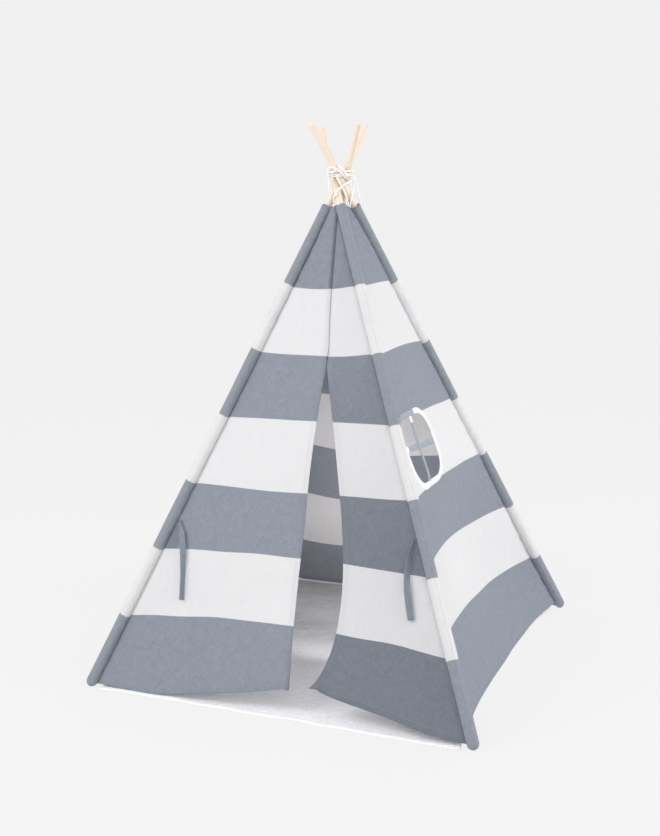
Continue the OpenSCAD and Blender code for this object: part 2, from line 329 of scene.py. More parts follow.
def on_face(k, u, v, n):
    """World places of (across, up the slope, outwards) on face k."""
    u, v, n = np.broadcast_arrays(u, v, n)
    y = -HALF + v * SIN_LEAN - n * COS_LEAN
    z = FOOT_Z + v * COS_LEAN + n * SIN_LEAN
    return turned(k, np.stack([u, y, z], axis=-1))


def pole_axis(k):
    run_x, run_y = HALF - CROSS_OFF, HALF + CROSS_OFF
    return turned(k, np.array([run_x, run_y, RISE]) / math.sqrt(run_x**2 + run_y**2 + RISE**2))


def pole_foot(k):
    return turned(k, np.array([-HALF, -HALF, FOOT_Z]))


AXIS = [pole_axis(k) for k in range(4)]
FOOT = [pole_foot(k) for k in range(4)]
NORMAL = turned(0, np.array([0.0, -COS_LEAN, SIN_LEAN]))
UP = np.array([0.0, SIN_LEAN, COS_LEAN])
LEFT_RATE = (AXIS[0][0], float(AXIS[0] @ UP), float(AXIS[0] @ NORMAL))
RIGHT_RATE = (AXIS[1][0], float(AXIS[1] @ UP), float(AXIS[1] @ NORMAL))


def edge_left(v):
    """Where a face's canvas meets the sleeve on its left: across and outwards."""
    s = v / LEFT_RATE[1]
    return -HALF + LEFT_RATE[0] * s, LEFT_RATE[2] * s


def edge_right(v):
    s = v / RIGHT_RATE[1]
    return HALF + RIGHT_RATE[0] * s, RIGHT_RATE[2] * s


def left_sleeve(v):
    return edge_left(v)[0] + CLOTH_EDGE


def right_sleeve(v):
    return edge_right(v)[0] - CLOTH_EDGE


def smooth(x, low, high):
    t = np.clip((np.asarray(x, float) - low) / (high - low), 0, 1)
    return t * t * (3 - 2 * t)


def table(v, places, values):
    """A smooth curve through values at places."""
    v = np.asarray(v, float)
    i = np.clip(np.searchsorted(places, v) - 1, 0, len(places) - 2)
    p, q = np.asarray(places, float), np.asarray(values, float)
    t = np.clip((v - p[i]) / (p[i + 1] - p[i]), 0, 1)
    slope = np.gradient(q, p)
    width = p[i + 1] - p[i]
    h00, h10 = 2 * t**3 - 3 * t**2 + 1, t**3 - 2 * t**2 + t
    return h00 * q[i] + h10 * width * slope[i] + (1 - h00) * q[i + 1] + (t**3 - t**2) * width * slope[i + 1]


def seam_u(v):
    """The line where the two front canvases meet, above the door."""
    middle = table(v, (1.037, 1.25, 1.54), (0.033, 0.014, 0.0))
    return np.minimum(middle, right_sleeve(v) - 0.002)


class Ripple:
    """Smooth seeded unevenness: a sum of sine waves, about -1 to 1."""

    def __init__(self, seed, low, high, count=14):
        rng = np.random.default_rng(seed)
        size = rng.uniform(low, high, count)
        angle = rng.uniform(0, 2 * math.pi, count)
        self.kx, self.ky = size * np.cos(angle), size * np.sin(angle)
        self.phase = rng.uniform(0, 2 * math.pi, count)
        self.gain = 1 / math.sqrt(count / 2)

    def __call__(self, x, y):
        x, y = np.asarray(x, float), np.asarray(y, float)
        total = sum(np.sin(kx * x + ky * y + p) for kx, ky, p in zip(self.kx, self.ky, self.phase))
        return total * self.gain * 0.6


# ---------------- mesh helpers
def add_mesh(name, verts, faces, material, cloth=None, stripe=None, painted_shade=None):
    mesh = bpy.data.meshes.new(name)
    mesh.from_pydata([tuple(p) for p in np.asarray(verts, float).reshape(-1, 3).tolist()], [], faces)
    mesh.validate()
    if cloth is not None:
        layer = mesh.attributes.new("cloth", "FLOAT_VECTOR", "POINT")
        layer.data.foreach_set("vector", np.asarray(cloth, np.float32).ravel())
    # Each mesh may carry its stripe print and its painted shade as attributes.
    for label, values in (("stripe", stripe), ("painted_shade", painted_shade)):
        if values is not None:
            layer = mesh.attributes.new(label, "FLOAT", "POINT")
            layer.data.foreach_set("value", np.asarray(values, np.float32).ravel())
    mesh.materials.append(material)
    mesh.polygons.foreach_set("use_smooth", [True] * len(mesh.polygons))
    piece = bpy.data.objects.new(name, mesh)
    bpy.context.scene.collection.objects.link(piece)
    return piece


def grid_faces(rows, cols, wrap=False):
    """Quads of a grid of rows by cols points; wrap joins the last column to the first."""
    i, j = np.meshgrid(np.arange(rows - 1), np.arange(cols if wrap else cols - 1), indexing="ij")
    k = (j + 1) % cols
    quads = np.stack([i * cols + j, i * cols + k, (i + 1) * cols + k, (i + 1) * cols + j], axis=-1)
    return quads.reshape(-1, 4).tolist()


def tube_faces(rows, cols):
    """A tube's wall and its two flat ends."""
    faces = grid_faces(rows, cols, wrap=True)
    faces.append(list(range(cols))[::-1])
    faces.append([(rows - 1) * cols + i for i in range(cols)])
    return faces


def ring_faces(rows, cols):
    """A closed ring of rows, each a section whose own two ends are joined."""
    faces = grid_faces(rows, cols)
    faces += [((rows - 1) * cols + j, (rows - 1) * cols + j + 1, j + 1, j) for j in range(cols - 1)]
    for i in range(rows):
        after = (i + 1) % rows
        faces.append((i * cols + cols - 1, after * cols + cols - 1, after * cols, i * cols))
    return faces


def attach(piece, body, slot, *replaced):
    """Says what a piece rides on, and the CAD nodes that it stands for; slot is not used."""
    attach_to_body(piece, body)
    if replaced:
        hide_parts(*replaced)


def arc_length(points):
    """The distance along a polyline at each of its points."""
    return np.r_[0, np.cumsum(np.linalg.norm(np.diff(points, axis=0), axis=1))]


def unit(vectors):
    return vectors / np.linalg.norm(vectors, axis=1)[:, None]


def flat3(a, b):
    """The cloth coordinates of a grid: across, along, 0."""
    a, b = np.broadcast_arrays(a, b)
    return np.stack([a, b, np.zeros_like(a)], axis=-1)


def thicken(piece, thickness):
    solid = piece.modifiers.new("thickness", "SOLIDIFY")
    solid.thickness, solid.offset = thickness, 0.0
    solid.use_even_offset = False


def stitches(name, runs, length=0.0028, radius=0.00045):
    """Thread spindles along each run, which is a pair: the places and the outward directions there."""
    verts, faces = [], []
    ring = [(math.cos(a), math.sin(a)) for a in (math.pi / 4 + math.pi / 2 * i for i in range(4))]
    for places, outs in runs:
        places, outs = np.asarray(places, float), np.asarray(outs, float)
        ahead = np.gradient(places, axis=0)
        ahead /= np.linalg.norm(ahead, axis=1)[:, None] + 1e-12
        side = np.cross(ahead, outs)
        side /= np.linalg.norm(side, axis=1)[:, None] + 1e-12
        rise = np.cross(side, ahead)
        for p, a, s, r in zip(places, ahead, side, rise):
            base = len(verts)
            verts.append(p - a * length / 2 - r * radius)
            for t in (-0.22, 0.22):
                verts.extend(p + a * length * t + (s * c + r * d) * radius + r * radius * 0.6
                             for c, d in ring)
            verts.append(p + a * length / 2 - r * radius)
            for i in range(4):
                j = (i + 1) % 4
                faces.append((base, base + 1 + j, base + 1 + i))
                faces.append((base + 1 + i, base + 1 + j, base + 5 + j, base + 5 + i))
                faces.append((base + 9, base + 5 + i, base + 5 + j))
    return add_mesh(name, verts, faces, thread)


def along_line(points, pitch):
    """Evenly spaced numbers that sample a polyline every pitch."""
    steps = arc_length(np.asarray(points, float))
    return np.interp(np.arange(pitch, steps[-1] - pitch / 2, pitch), steps, np.arange(len(points)))


def sampled(points, index):
    points = np.asarray(points, float)
    numbers = np.arange(len(points))
    return np.stack([np.interp(index, numbers, column) for column in points.T], axis=1)


def smooth_route(points, steps):
    """A Catmull-Rom curve through points, with steps for each span."""
    p = np.asarray(points, float)
    p = np.vstack([2 * p[0] - p[1], p, 2 * p[-1] - p[-2]])
    out = []
    for i in range(1, len(p) - 2):
        for t in np.arange(steps) / steps:
            a, b, c, d = p[i - 1], p[i], p[i + 1], p[i + 2]
            out.append(0.5 * (2 * b + (c - a) * t + (2 * a - 5 * b + 4 * c - d) * t**2
                              + (3 * b - a - 3 * c + d) * t**3))
    out.append(p[-2])
    return np.array(out)


def frames_along(path):
    """Unit directions ahead, and two across, that turn as little as they can along path."""
    ahead = unit(np.gradient(path, axis=0))
    first = np.cross(ahead[0], (0.3, 0.2, 1.0))
    across = [first / np.linalg.norm(first)]
    for a in ahead[1:]:
        nxt = across[-1] - a * float(across[-1] @ a)
        across.append(nxt / np.linalg.norm(nxt))
    across = np.array(across)
    return ahead, across, np.cross(ahead, across)


ROPE_SIDES, ROPE_LAY = 18, 0.0125


def rope(name, path, diameter):
    """A three-strand cotton cord along a path, with its lay modelled."""
    ahead, across, other = frames_along(path)
    steps = arc_length(path)
    angle = np.arange(ROPE_SIDES) * 2 * math.pi / ROPE_SIDES
    lay = angle[None, :] * 3 - (steps / ROPE_LAY * 2 * math.pi)[:, None]
    radius = diameter / 2 * (0.90 + 0.13 * np.abs(np.cos(lay / 2)))
    fray = np.minimum(np.arange(len(path)), np.arange(len(path))[::-1])
    radius = radius * np.where(fray < 2, 0.82 + 0.09 * fray, 1.0)[:, None]
    verts = (path[:, None, :] + radius[..., None] * (np.cos(angle)[None, :, None] * across[:, None, :]
                                                     + np.sin(angle)[None, :, None] * other[:, None, :]))
    return add_mesh(name, verts, tube_faces(len(path), ROPE_SIDES), cotton)


# ---------------- cords
def free_cord(name, route, replaced):
    """A cord along a route."""
    spine = smooth_route(np.array(route) / 1000, 8)
    piece = rope(name, spine, CORD_D)
    attach(piece, "cover", "cotton_cord", replaced)


free_cord("tail_cord_left", TAIL_LEFT, "lashing_tail_left")
free_cord("tail_cord_right", TAIL_RIGHT, "lashing_tail_right")
free_cord("hanger_front", FRONT_CORD, "cover_cord_front")
free_cord("hanger_right", RIGHT_CORD, "cover_cord_right")
free_cord("hanger_side", SIDE_CORD, "cover_cord_side")


# ---------------- the shape of the canvas
GROOVE, GROOVE_REACH = 0.0060, 0.006
SEAM_AT = 0.009
HEM_LEVELS = (-0.02, 0.208, 0.422, 0.56, 0.643, 0.75, 0.858, 1.06, 1.54)
SAG = {
    "front": (0.000, 0.004, 0.006, 0.006, 0.004, 0.003, 0.003, 0.003, 0.0),
    "right": (0.056, 0.097, 0.090, 0.046, 0.014, 0.004, 0.002, 0.002, 0.0),
    "back": (0.020, 0.034, 0.035, 0.025, 0.018, 0.012, 0.008, 0.004, 0.0),
    "left": (0.045, 0.078, 0.074, 0.048, 0.030, 0.015, 0.008, 0.004, 0.0),
}
FACES = ("front", "right", "back", "left")
STRIPE_LEVELS = (0.0, 0.195, 0.409, 0.622, 0.836, 1.050, 1.264, 1.54)
STRIPE_RISE = {
    "front": (0.0, 0.033, 0.020, -0.005, 0.0, -0.011, -0.013, 0.0),
    "right": (0.009, 0.019, 0.022, 0.012, 0.008, 0.007, 0.004, 0.0),
    "back": (-0.012, -0.016, -0.019, -0.022, -0.010, 0.000, 0.002, 0.0),
    "left": (0.008, 0.017, 0.016, 0.010, 0.006, 0.005, 0.003, 0.0),
}
BROAD = [Ripple(11 + k, 4, 12) for k in range(4)]
FINE = [Ripple(31 + k, 14, 34, 22) for k in range(4)]
BROAD_BY, FINE_BY = (0.0030, 0.0035, 0.0045, 0.0040), (0.0011, 0.0014, 0.0014, 0.0014)
PUCKER = Ripple(51, 90, 170, 16)


def across_share(u, v):
    """-1 at the left pole's axis to 1 at the right pole's."""
    left, right = edge_left(v)[0], edge_right(v)[0]
    return 2 * (u - left) / (right - left) - 1


def canvas_n(k, u, v):
    """How far the canvas stands out of face k's plane."""
    (left, left_n), (right, right_n) = edge_left(v), edge_right(v)
    w = np.clip(across_share(u, v), -1, 1)
    depth = table(v, HEM_LEVELS, SAG[FACES[k]])
    power = 2 + 2 * (1 - smooth(v, 0.2, 0.42))
    n = left_n + (right_n - left_n) * (w + 1) / 2 - depth * (1 - np.abs(w) ** power)
    middle = 1 - np.abs(w) ** 6
    n = n + middle * (BROAD_BY[k] * BROAD[k](u, v) + FINE_BY[k] * FINE[k](u, v))
    for gap in (u - left - CLOTH_EDGE, right - CLOTH_EDGE - u):
        gap = np.maximum(gap, 0)
        n = n - GROOVE * np.exp(-gap / GROOVE_REACH)
        n = n - 0.0007 * np.exp(-(((gap - SEAM_AT) / 0.0018) ** 2))
        n = n + 0.0011 * PUCKER(v, 0.3 * k + 0 * v) * np.exp(-gap / 0.020)
    return n


def stripe_at(k, u, v):
    w = np.clip(across_share(u, v), -1, 1)
    rise = table(v, STRIPE_LEVELS, STRIPE_RISE[FACES[k]]) * (1 - w * w)
    wander = 0.0018 * FINE[(k + 1) % 4](u, v) * (1 - w**4)
    return ((v - rise - wander) / STRIPE_ON_FACE + STRIPE_FOOT) / STRIPE


TIE_LEFT, TIE_RIGHT = (-0.379, 0.507), (0.374, 0.522)


def painted_shade_at(k, u, v):
    """How much painted shade darkens the cloth's colour: beside the sleeves, along the centre seam, over the
    right half of the front, and under the ties.
    """
    shade = 0 * u
    # Painted shade beside the sleeves, stronger towards the top.
    strength = 0.30 + 0.55 * smooth(v, 0.5, 1.35)
    for gap in (u - edge_left(v)[0] - CLOTH_EDGE, edge_right(v)[0] - CLOTH_EDGE - u):
        shade = np.maximum(shade, strength * np.exp(-((np.maximum(gap - 0.001, 0) / 0.0065) ** 2)))
    if k == 0:
        # Painted shade along the centre seam above the door.
        seam_painted_shade = 0.8 * np.exp(-(((u - seam_u(v) - 0.001) / 0.0045) ** 2))
        shade = np.maximum(shade, seam_painted_shade * smooth(v, 1.02, 1.06))
        # Painted shade over the right half of the front, strongest low down.
        right_half_painted_shade = table(v, (0.0, 0.6, 1.0, 1.25, 1.54), (0.50, 0.46, 0.24, 0.16, 0.12))
        shade = np.maximum(shade, right_half_painted_shade * smooth(u - seam_u(v), 0.0, 0.03))
        # Painted shade in the pocket beside each tie, darkest where the tie is sewn on.
        for (tie_u, tie_v), toward in ((TIE_LEFT, -1), (TIE_RIGHT, 1)):
            below = tie_v - v
            beside = (u - tie_u) * toward + 0.004
            tuck = smooth(below, 0.0, 0.012) * (1 - smooth(below, 0.075, 0.120))
            tuck = tuck * smooth(beside, 0.0, 0.004)
            shade = np.maximum(shade, 0.34 * tuck)
            knot = np.hypot(u - tie_u, (v - tie_v) * 0.6)
            shade = np.maximum(shade, 0.95 * np.exp(-((knot / 0.006) ** 2)))
    return np.clip(shade, 0, 1)


HEM_UNDER = ((0.0180, -0.0024), (0.0130, -0.0025), (0.0080, -0.0024), (0.0030, -0.0022), (0.0006, -0.0017),
             (-0.0005, -0.0010), (0.0002, -0.0003))
HEM_OVER = (0.0020, 0.0060, 0.0110, 0.0150, 0.0168, 0.0190, 0.0230)
HEM_STITCH = 0.0168


HEM_REACH, TOP_REACH = 0.0245, 0.024
HEMMED = [(d, n) for d, n in HEM_UNDER] + [(d, 0.0) for d in HEM_OVER]
SEWN_IN = [(d, 0.0) for d in (0.0, 0.0015, 0.003, 0.005, 0.0075, 0.009, 0.011, 0.015, 0.020)]
TOP_STEPS = (0.020, 0.0160, 0.0140, 0.0115, 0.005, 0.0)


def edge_steps(hem_start, hem_end, count):
    """Where a row of cloth has its points, with extra ones at its folded hems or sewn-in edges.

    Gives for each: the share of the way, the distance from that edge, and how far behind the cloth it is."""
    start, end = (HEMMED if hem else SEWN_IN for hem in (hem_start, hem_end))
    columns = [(0.0, d, n) for d, n in start]
    columns += [(t, None, 0.0) for t in np.linspace(0, 1, count + 2)[1:-1]]
    return columns + [(1.0, d, n) for d, n in end[::-1]]


def woven_piece(name, k, left_of, right_of, hem_of, rows, columns, hems=(False, False), shape=None,
                keep=None):
    """One cut of cloth on face k, between two edges, a hem and the top: the piece and its surface."""
    steps = edge_steps(*hems, columns)
    levels = [(0.0, d, n) for d, n in HEMMED]
    levels += [(t, None, 0.0) for t in np.linspace(0, 1, rows + 2)[1:-1]]
    levels += [(1.0, d, 0.0) for d in TOP_STEPS]
    middle = np.array([t if d is None else (0.0 if t < 0.5 else 1.0) for t, d, _ in steps])
    foot_u = left_of(0.02) + (right_of(0.02) - left_of(0.02)) * middle
    hem = hem_of(foot_u)
    v = np.empty((len(levels), len(steps)))
    for i, (t, d, _) in enumerate(levels):
        if d is None:
            v[i] = hem + HEM_REACH + (PANEL_TOP - hem - HEM_REACH - TOP_REACH) * t
        else:
            v[i] = hem + d if t < 0.5 else PANEL_TOP - d
    u = np.empty_like(v)
    for j, (t, d, _) in enumerate(steps):
        low, high = left_of(v[:, j]), right_of(v[:, j])
        reach = np.minimum(HEM_REACH, (high - low) / 2.2)
        if d is None:
            u[:, j] = low + reach + (high - low - 2 * reach) * t
        else:
            tight = reach / HEM_REACH
            u[:, j] = low + d * tight if t < 0.5 else high - d * tight
    behind = np.array([n for _, _, n in levels])[:, None] + np.array([n for _, _, n in steps])[None, :]

    def surface(uu, vv):
        n = canvas_n(k, uu, vv)
        return n + shape(uu, vv) if shape else n

    n = surface(u, v) + behind
    points = on_face(k, u, v, n)
    faces = grid_faces(*v.shape)
    if keep is not None:
        middle_u = (u[:-1, :-1] + u[1:, 1:]) / 2
        middle_v = (v[:-1, :-1] + v[1:, 1:]) / 2
        kept = keep(middle_u, middle_v).ravel()
        faces = [f for f, ok in zip(faces, kept) if ok]
    piece = add_mesh(name, points, faces, canvas, flat3(u, v), stripe_at(k, u, v), painted_shade_at(k, u, v))
    thicken(piece, CLOTH_THICK)
    return piece, surface


def sewn(k, surface, line):
    """A stitch run along a line of (across, up) places on a face's cloth."""
    u, v = sampled(line, along_line(line, STITCH_PITCH)).T
    places = on_face(k, u, v, surface(u, v) + 0.0006)
    outward = turned(k, np.broadcast_to(NORMAL, places.shape))
    return places, outward


def strip_unused(piece):
    """Drops points that no face uses."""
    mesh = piece.data
    used = np.zeros(len(mesh.vertices), bool)
    loops = np.empty(len(mesh.loops), int)
    mesh.loops.foreach_get("vertex_index", loops)
    used[loops] = True
    if used.all():
        return
    work = bmesh.new()
    work.from_mesh(mesh)
    work.verts.ensure_lookup_table()
    bmesh.ops.delete(work, geom=[work.verts[i] for i in np.flatnonzero(~used)], context="VERTS")
    work.to_mesh(mesh)
    work.free()


# ---------------- back, left and right canvases
SIDE_HEM, BACK_HEM = 0.012, -0.008


def flat_line(value):
    return lambda u: np.full(np.shape(u), value)


def window_distance(u, v):
    """Distance outside the window's opening, negative inside it."""
    x = np.abs(u - WINDOW_AT[0]) - (WINDOW_W / 2 - WINDOW_R)
    y = np.abs(v - WINDOW_AT[1]) - (WINDOW_H / 2 - WINDOW_R)
    return np.hypot(np.maximum(x, 0), np.maximum(y, 0)) + np.minimum(np.maximum(x, y), 0) - WINDOW_R


def v_line(edge, offset, low, high, count=60):
    v = np.linspace(low, high, count)
    return np.stack([edge(v) + offset, v], axis=1)


def u_line(level, low, high, count=60):
    u = np.linspace(low, high, count)
    return np.stack([u, level(u)], axis=1)


for k, face in ((1, "right"), (2, "back"), (3, "left")):
    detail = 1.0 if k == 1 else 0.7
    keep = (lambda u, v: window_distance(u, v) > 0.006) if k == 1 else None
    hem = BACK_HEM if k == 2 else SIDE_HEM
    piece, surface = woven_piece(f"{face}_canvas", k, left_sleeve, right_sleeve, flat_line(hem),
                                 int(250 * detail), int(170 * detail), keep=keep)
    strip_unused(piece)
    attach(piece, "cover", "striped_canvas", f"{face}_panel")
    runs = [sewn(k, surface, v_line(left_sleeve, SEAM_AT, 0.02, 1.50)),
            sewn(k, surface, v_line(right_sleeve, -SEAM_AT, 0.02, 1.50)),
            sewn(k, surface, u_line(flat_line(hem + HEM_STITCH), left_sleeve(0.03), right_sleeve(0.03)))]
    attach(stitches(f"{face}_canvas_stitching", runs), "cover", "trim_cloth")


# ---------------- front canvas: two halves over the door
def door_left(v):
    t = (v - CORNER_LEFT[1]) / (DOOR_APEX[1] - CORNER_LEFT[1])
    bow = table(v, (0.05, 0.20, 0.50, 0.80, 1.037), (0.006, 0.019, 0.019, 0.015, 0.0))
    return CORNER_LEFT[0] + (DOOR_APEX[0] - CORNER_LEFT[0]) * t - bow


def door_right(v):
    t = np.clip((v - CORNER_RIGHT[1]) / (DOOR_APEX[1] - CORNER_RIGHT[1]), 0, 1)
    return CORNER_RIGHT[0] * (1 - t) + DOOR_APEX[0] * t + DOOR_BOW * np.sin(math.pi * t**0.6)


def left_half_edge(v):
    v = np.asarray(v, float)
    return np.where(v < DOOR_APEX[1], door_left(v), seam_u(v) + 0.004 * smooth(v, 1.037, 1.08))


def right_half_edge(v):
    v = np.asarray(v, float)
    return np.where(v < DOOR_APEX[1], door_right(v), seam_u(v) - 0.006 * smooth(v, 1.037, 1.08))


def hem_left(u):
    return table(u, (-0.62, -0.50, -0.394, -0.228, -0.099, 0.064, 0.09),
                 (-0.004, -0.008, -0.0085, 0.014, 0.033, 0.0640, 0.069))


def hem_right(u):
    return table(u, (0.04, 0.106, 0.145, 0.205, 0.292, 0.365, 0.428, 0.52, 0.62),
                 (0.088, 0.079, 0.067, 0.0545, 0.041, 0.029, 0.015, 0.001, -0.006))


DOOR_WAVE = Ripple(71, 7, 16, 8)


def left_shape(u, v):
    """The left half's free edge sways a little and laps over the right half above the door."""
    gap = np.maximum(left_half_edge(v) - u, 0)
    low = 1 - smooth(v, 0.0, 1.0)
    sway = 0.007 * low * DOOR_WAVE(0.6 * u, v) * np.exp(-gap / 0.16)
    flip = 0.010 * (1 - smooth(v, 0.04, 0.13)) * np.exp(-gap / 0.030)
    lap = 0.0022 * smooth(v, 1.0, 1.06) * np.exp(-gap / 0.03)
    return sway + flip + lap


def right_shape(u, v):
    gap = np.maximum(u - right_half_edge(v), 0)
    low = 1 - smooth(v, 0.0, 1.0)
    sway = 0.007 * low * DOOR_WAVE(0.6 * u + 3, v + 2) * np.exp(-gap / 0.16)
    curl = 0.012 * (1 - smooth(v, 0.06, 0.22)) * np.exp(-gap / 0.045)
    lap = -0.0022 * smooth(v, 1.0, 1.06) * np.exp(-gap / 0.03)
    return sway + curl + lap


FOLD_BLEND = 0.025


def fold_blend(piece, foot):
    """Works out a band across the fold line, which nothing uses, and bakes the piece's transform into its
    mesh.
    """
    direction = np.array(DOOR_APEX) - np.array(foot)
    direction /= np.linalg.norm(direction)
    inward = np.array([direction[1], -direction[0]])
    if foot[0] > 0:
        inward = -inward
    middle = np.array(foot) + direction * 0.5
    ends = [on_face(0, *(middle + inward * d), 0.0) for d in (-FOLD_BLEND, FOLD_BLEND)]
    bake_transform(piece)


for side, left_of, right_of, hem_of, hems, shape, foot, area in (
        ("left", left_sleeve, left_half_edge, hem_left, (False, True), left_shape, FOLD_LEFT, 0.49),
        ("right", right_half_edge, right_sleeve, hem_right, (True, False), right_shape, FOLD_RIGHT, 0.31)):
    piece, surface = woven_piece(f"front_canvas_{side}", 0, left_of, right_of, hem_of, 250, 110, hems, shape)
    fold_blend(piece, foot)
    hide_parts(f"front_panel_{side}", f"door_flap_{side}")
    free_edge, fixed_edge = (right_of, left_of) if side == "left" else (left_of, right_of)
    inside = -1 if side == "left" else 1
    runs = [sewn(0, surface, v_line(fixed_edge, -inside * SEAM_AT, 0.01, 1.50)),
            sewn(0, surface, v_line(free_edge, inside * HEM_STITCH * 0.7, 0.075, 1.48, 140)),
            sewn(0, surface, u_line(lambda u: hem_of(u) + HEM_STITCH, left_of(0.03) + 0.01,
                                    right_of(0.05) - 0.01, 120))]
    seam = stitches(f"front_canvas_{side}_stitching", runs)
    fold_blend(seam, foot)


# ---------------- sleeves
SLEEVE_TOP = (COVER_TOP - FOOT_Z) / float(AXIS[0][2])
SLEEVE_COLUMNS = 40


def sleeve_basis(k):
    """Directions across pole k: away from the tent's middle, and sideways."""
    axis = AXIS[k]
    outward = turned(k, np.array([-1.0, -1.0, 0.0]) / math.sqrt(2))
    outward = outward - axis * float(outward @ axis)
    outward /= np.linalg.norm(outward)
    return axis, outward, np.cross(axis, outward)


def round_points(k, along, radius, angle):
    """Places round pole k's axis."""
    axis, outward, sideways = sleeve_basis(k)
    around = np.cos(angle)[..., None] * outward + np.sin(angle)[..., None] * sideways
    return FOOT[k] + along[..., None] * axis + radius[..., None] * around


def build_sleeve(k):
    axis, outward, sideways = sleeve_basis(k)
    to_right = turned(k, np.array([1.0, 0.0, 0.0]))
    to_left = turned(k - 1, np.array([-1.0, 0.0, 0.0]))
    seams = [math.atan2(float(d @ sideways), float(d @ outward)) for d in (to_right, to_left)]
    cap = [(-SLEEVE_R * math.cos(a), math.sin(a)) for a in np.linspace(0.06, math.pi / 2, 9)[:-1]]
    body = [(s, 1.0) for s in np.arange(0.0, SLEEVE_TOP - 0.016, 0.006)]
    top = [(SLEEVE_TOP - d, 1.0) for d in (0.0150, 0.0125, 0.0115, 0.0100, 0.0060, 0.0012)]
    levels = cap + body + top
    s = np.array([level for level, _ in levels])[:, None]
    share = np.array([r for _, r in levels])[:, None]
    angle = (np.arange(SLEEVE_COLUMNS) * 2 * math.pi / SLEEVE_COLUMNS)[None, :]
    broad, fine, pinch = Ripple(80 + k, 5, 14), Ripple(90 + k, 30, 70, 18), Ripple(100 + k, 120, 260, 16)
    radius = SLEEVE_R - 0.0009 + 0.0006 * broad(0.5 * np.cos(angle), s + 0.12 * np.sin(angle))
    radius = radius + 0.00025 * fine(0.4 * np.cos(angle), s + 0.1 * np.sin(angle))
    for seam in seams:
        away = np.abs((angle - seam + math.pi) % (2 * math.pi) - math.pi)
        near = np.exp(-((away / 0.42) ** 2))
        radius = radius - 0.0007 * near * (1 + 0.8 * pinch(0 * angle, s))
        radius = radius - 0.0005 * np.exp(-((away / 0.12) ** 2))
    hem = smooth(s, SLEEVE_TOP - 0.0125, SLEEVE_TOP - 0.0095)
    radius = radius + 0.0006 * hem - 0.0005 * np.exp(-(((s - SLEEVE_TOP + 0.0110) / 0.0012) ** 2))
    radius = radius * share
    wave = 0.0012 * np.sin(2 * angle + k) * smooth(s, SLEEVE_TOP - 0.03, SLEEVE_TOP)
    height = s + wave
    inner = [(0.0, -0.0006), (-0.0004, -0.0016), (-0.0030, -0.0023), (-0.0115, -0.0026)]
    rim_height = np.vstack([height[-1:] + 0.0012 + dz for dz, _ in inner])
    rim_radius = np.vstack([radius[-1:] + dr for _, dr in inner])
    height, radius = np.vstack([height, rim_height]), np.vstack([radius, rim_radius])
    points = round_points(k, height, radius, angle)
    points[..., 2] = np.maximum(points[..., 2], 0.0006)
    faces = grid_faces(*radius.shape, wrap=True)
    faces.append(list(range(SLEEVE_COLUMNS))[::-1])
    uneven = 0.006 * fine(np.cos(angle), 0 * height)
    stripe = np.broadcast_to((height + STRIPE_FOOT) / STRIPE + uneven, radius.shape)
    piece = add_mesh(f"{CORNERS[k]}_pole_sleeve", points, faces, canvas,
                     flat3(angle * SLEEVE_R + 0.2 * k, height), stripe)
    attach(piece, "cover", "striped_canvas", f"{CORNERS[k]}_sleeve")
    turns = np.linspace(0, 2 * math.pi, 29)
    outs = np.array([math.cos(a) * outward + math.sin(a) * sideways for a in turns])
    round_it = FOOT[k] + axis * (SLEEVE_TOP - 0.0110) + (SLEEVE_R - 0.0004) * outs
    attach(stitches(f"{CORNERS[k]}_sleeve_stitching", [(round_it, outs)]), "cover", "trim_cloth")


for k in range(4):
    build_sleeve(k)


# ---------------- window: binding and straps
def window_line(grow):
    """Places round the window's opening, grown outwards."""
    w, h, r = WINDOW_W / 2 - WINDOW_R, WINDOW_H / 2 - WINDOW_R, WINDOW_R + grow
    line = []

    def corner_point(side, angle):
        x, y = side
        return np.array([WINDOW_AT[0] + x * w + r * math.cos(angle),
                         WINDOW_AT[1] + y * h + r * math.sin(angle)])

    sides = ((1, 1), (-1, 1), (-1, -1), (1, -1))
    for quarter, side in enumerate(sides):
        start = quarter * math.pi / 2
        corner = [corner_point(side, start + a) for a in np.linspace(0, math.pi / 2, 20)]
        target = corner_point(sides[(quarter + 1) % 4], start + math.pi / 2)
        line += corner
        line += [corner[-1] * (1 - t) + target * t for t in np.linspace(0, 1, 15)[1:-1]]
    return np.array(line)


# The binding's section: share of its width, and height off the canvas
BINDING = ((1.00, 0.0006), (0.97, 0.0017), (0.80, 0.0022), (0.72, 0.0018), (0.55, 0.0023), (0.25, 0.0024),
           (0.06, 0.0021), (-0.02, 0.0011), (-0.04, 0.0), (-0.02, -0.0011), (0.06, -0.0021), (0.55, -0.0023),
           (0.97, -0.0017), (1.00, -0.0006))


